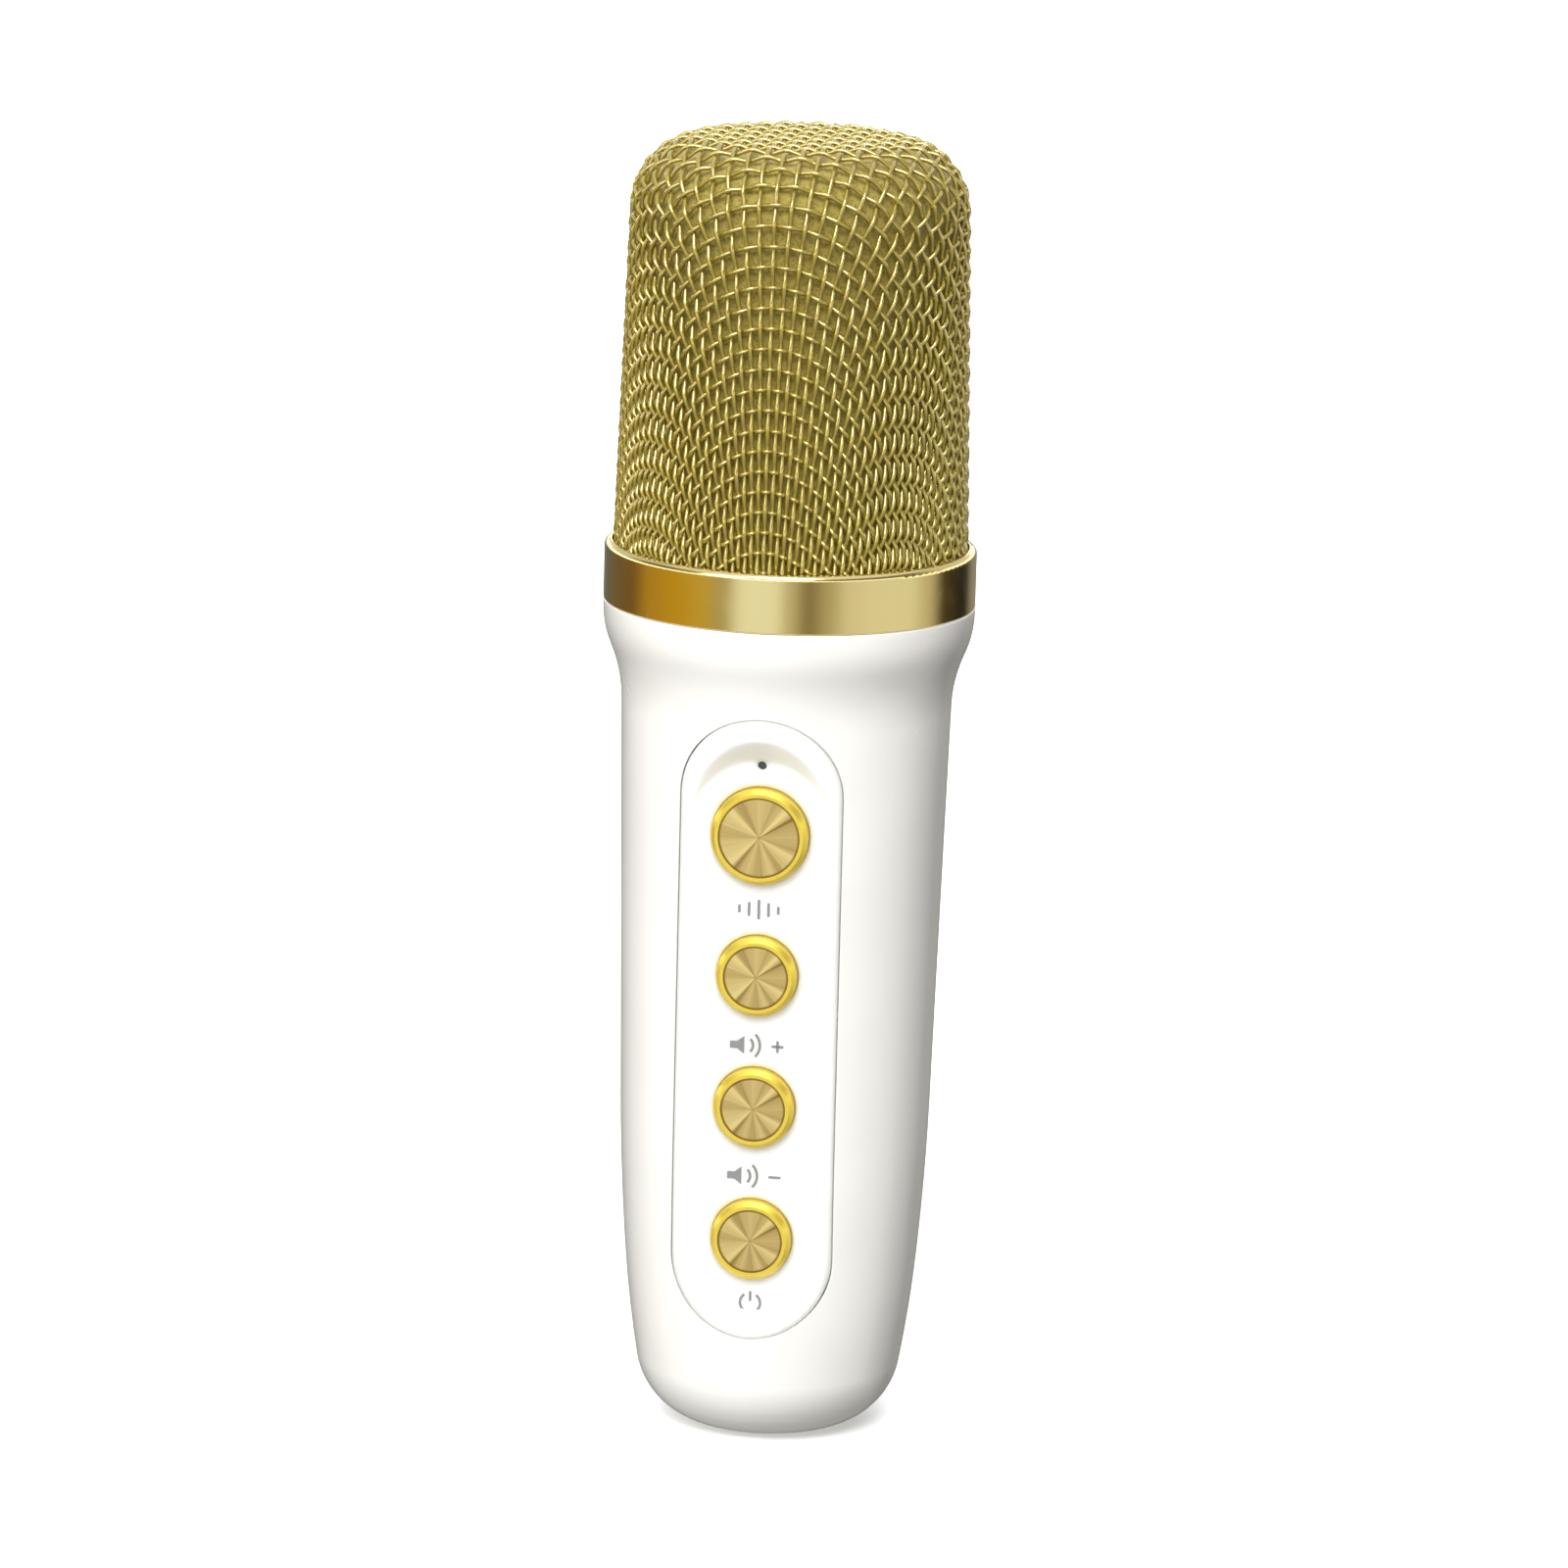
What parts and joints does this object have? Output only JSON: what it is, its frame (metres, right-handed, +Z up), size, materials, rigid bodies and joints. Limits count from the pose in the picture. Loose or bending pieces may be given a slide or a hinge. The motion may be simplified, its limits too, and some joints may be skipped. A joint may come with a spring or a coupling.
{
  "type": "karaoke microphone",
  "caption": "Cordless handheld karaoke microphone: flat-topped woven wire grille over a polished collar and a tapered white handle with a sunk panel of push buttons.",
  "frame": {"origin": "middle of the flat foot at the bottom of the handle", "axes": "+Z up the handle towards the grille, -Y out of the button panel, +X to the right of the panel as seen from the front"},
  "size_m": [0.04, 0.04, 0.1413],
  "materials": {
    "handle_gloss": "warm white, high-gloss moulded",
    "panel_gloss": "warm white, satin gloss moulded",
    "button_gold": "polished yellow gold plating",
    "button_disc": "radially spun gold",
    "ring_gold": "mirror-polished gold plating",
    "mesh_gold": "gold-plated woven wire",
    "foam": "open-cell foam",
    "felt": "black felt",
    "black_plastic": "black moulded",
    "chassis_plastic": "dark grey moulded",
    "light_pipe": "smoked clear rod",
    "led_lens": "clear lens",
    "board_green": "solder mask",
    "screw_steel": "zinc plated",
    "shield_steel": "tinned steel",
    "copper": "bare copper",
    "cell_wrap": "heat-shrink wrap",
    "seal_rubber": "soft black rubber",
    "lead_red": "lead insulation",
    "lead_black": "lead insulation"
  },
  "bodies": {
    "handle": {"handle_shell": "handle_gloss", "button_panel": "panel_gloss", "tact_switches": "black_plastic", "circuit_board": "board_green", "board_screws": "screw_steel", "status_led": "led_lens", "light_pipe": "light_pipe", "radio_module": "shield_steel", "board_chips": "black_plastic", "antenna_wire": "copper", "chassis": "chassis_plastic", "chassis_screws": "screw_steel", "battery_cell": "cell_wrap", "battery_pad": "seal_rubber", "charge_board": "board_green", "charge_socket_shell": "shield_steel", "charge_socket_tongue": "black_plastic", "capsule_cradle": "chassis_plastic", "capsule_boot": "seal_rubber", "capsule_body": "shield_steel", "capsule_felt": "felt", "capsule_lead_signal": "lead_red", "capsule_lead_ground": "lead_black", "battery_lead_positive": "lead_red", "battery_lead_negative": "lead_black", "charge_lead": "lead_red"},
    "effect_key": {"effect_button": "button_gold", "effect_button_disc": "button_disc", "effect_switch_plunger": "black_plastic"},
    "volume_up_key": {"volume_up_button": "button_gold", "volume_up_button_disc": "button_disc", "volume_up_switch_plunger": "black_plastic"},
    "volume_down_key": {"volume_down_button": "button_gold", "volume_down_button_disc": "button_disc", "volume_down_switch_plunger": "black_plastic"},
    "power_key": {"power_button": "button_gold", "power_button_disc": "button_disc", "power_switch_plunger": "black_plastic"},
    "head_collar": {"head_seal": "seal_rubber"},
    "grille_head": {"grille_ring": "ring_gold", "grille_mesh": "mesh_gold", "foam_liner": "foam", "mesh_retainer": "black_plastic"}
  },
  "joints": [
    {"name": "effect_press", "type": "slide", "parent": "handle", "child": "effect_key", "axis": [0, 0.9994, 0.0354], "range_m": [0, 0.0005], "stiffness_N_per_m": 2400, "springref_m": -0.0003},
    {"name": "volume_up_press", "type": "slide", "parent": "handle", "child": "volume_up_key", "axis": [0, 0.9994, 0.0354], "range_m": [0, 0.0005], "stiffness_N_per_m": 2400, "springref_m": -0.0003},
    {"name": "volume_down_press", "type": "slide", "parent": "handle", "child": "volume_down_key", "axis": [0, 0.9994, 0.0354], "range_m": [0, 0.0005], "stiffness_N_per_m": 2400, "springref_m": -0.0003},
    {"name": "power_press", "type": "slide", "parent": "handle", "child": "power_key", "axis": [0, 0.9994, 0.0354], "range_m": [0, 0.0005], "stiffness_N_per_m": 2400, "springref_m": -0.0003},
    {"name": "head_turn", "type": "hinge", "parent": "handle", "child": "head_collar", "pos_m": [0, 0, 0.0909], "axis": [0, 0, 1], "range_deg": [0, 720]},
    {"name": "head_lift", "type": "slide", "parent": "head_collar", "child": "grille_head", "axis": [0, 0, 1], "range_m": [0, 0.006]}
  ],
  "couplings": [
    {"joint": "head_lift", "follows": "head_turn", "m_per_rad": 0.00047746}
  ]
}
